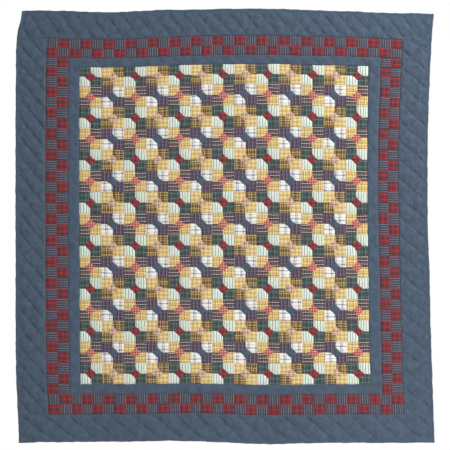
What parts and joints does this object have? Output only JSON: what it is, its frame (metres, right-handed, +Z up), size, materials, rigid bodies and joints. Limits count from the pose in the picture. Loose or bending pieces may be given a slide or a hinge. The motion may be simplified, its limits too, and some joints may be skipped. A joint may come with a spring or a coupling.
{
  "type": "hanging patchwork quilt",
  "caption": "Bow-tie patchwork quilt with pieced borders, hung by a sleeve on a wooden rod in cradle brackets on a wall rail.",
  "frame": {"origin": "centre of the rail's rear face, which lies against a wall", "axes": "+X to the viewer's right, +Y into the wall, +Z up; the quilt's front faces -Y"},
  "size_m": [2.3372, 0.0836, 2.438],
  "materials": {
    "patchwork": "pieced plaid and striped cottons, matt",
    "slate_cotton": "plain slate blue cotton, quilted, matt",
    "checker_cotton": "red plaid and grey-navy stripe cottons, matt",
    "batting": "white cotton batting, matt",
    "backing_cotton": "plain woven cotton, matt",
    "sleeve_cotton": "plain woven cotton, matt",
    "pine": "clear satin lacquer",
    "bracket_steel": "black powder coat, satin",
    "screw_zinc": "zinc plated"
  },
  "bodies": {
    "rack": {"back_rail": "pine", "bracket_left": "bracket_steel", "bracket_centre": "bracket_steel", "bracket_right": "bracket_steel", "bracket_screw_1": "screw_zinc", "bracket_screw_2": "screw_zinc", "bracket_screw_3": "screw_zinc", "bracket_screw_4": "screw_zinc", "bracket_screw_5": "screw_zinc", "bracket_screw_6": "screw_zinc"},
    "rod": {"hanging_rod": "pine", "rod_cap_left": "pine", "rod_cap_right": "pine"},
    "quilt": {"block_row_01": "patchwork", "block_row_02": "patchwork", "block_row_03": "patchwork", "block_row_04": "patchwork", "block_row_05": "patchwork", "block_row_06": "patchwork", "block_row_07": "patchwork", "block_row_08": "patchwork", "block_row_09": "patchwork", "block_row_10": "patchwork", "block_row_11": "patchwork", "block_row_12": "patchwork", "block_row_13": "patchwork", "block_row_14": "patchwork", "block_row_15": "patchwork", "inner_border_top": "slate_cotton", "inner_border_bottom": "slate_cotton", "inner_border_left": "slate_cotton", "inner_border_right": "slate_cotton", "outer_border_top": "slate_cotton", "outer_border_bottom": "slate_cotton", "outer_border_left": "slate_cotton", "outer_border_right": "slate_cotton", "binding_top": "slate_cotton", "binding_bottom": "slate_cotton", "binding_left": "slate_cotton", "binding_right": "slate_cotton", "checker_border_top": "checker_cotton", "checker_border_bottom": "checker_cotton", "checker_border_left": "checker_cotton", "checker_border_right": "checker_cotton", "batting": "batting", "backing_left": "backing_cotton", "backing_right": "backing_cotton", "sleeve_left": "sleeve_cotton", "sleeve_right": "sleeve_cotton"}
  },
  "joints": [
    {"name": "rod_lift", "type": "slide", "parent": "rack", "child": "rod", "axis": [0, 0, 1], "range_m": [0, 0.06]},
    {"name": "quilt_swing", "type": "hinge", "parent": "rod", "child": "quilt", "pos_m": [0, -0.052, 0.05], "axis": [-1, 0, 0], "range_deg": [0, 75]}
  ]
}
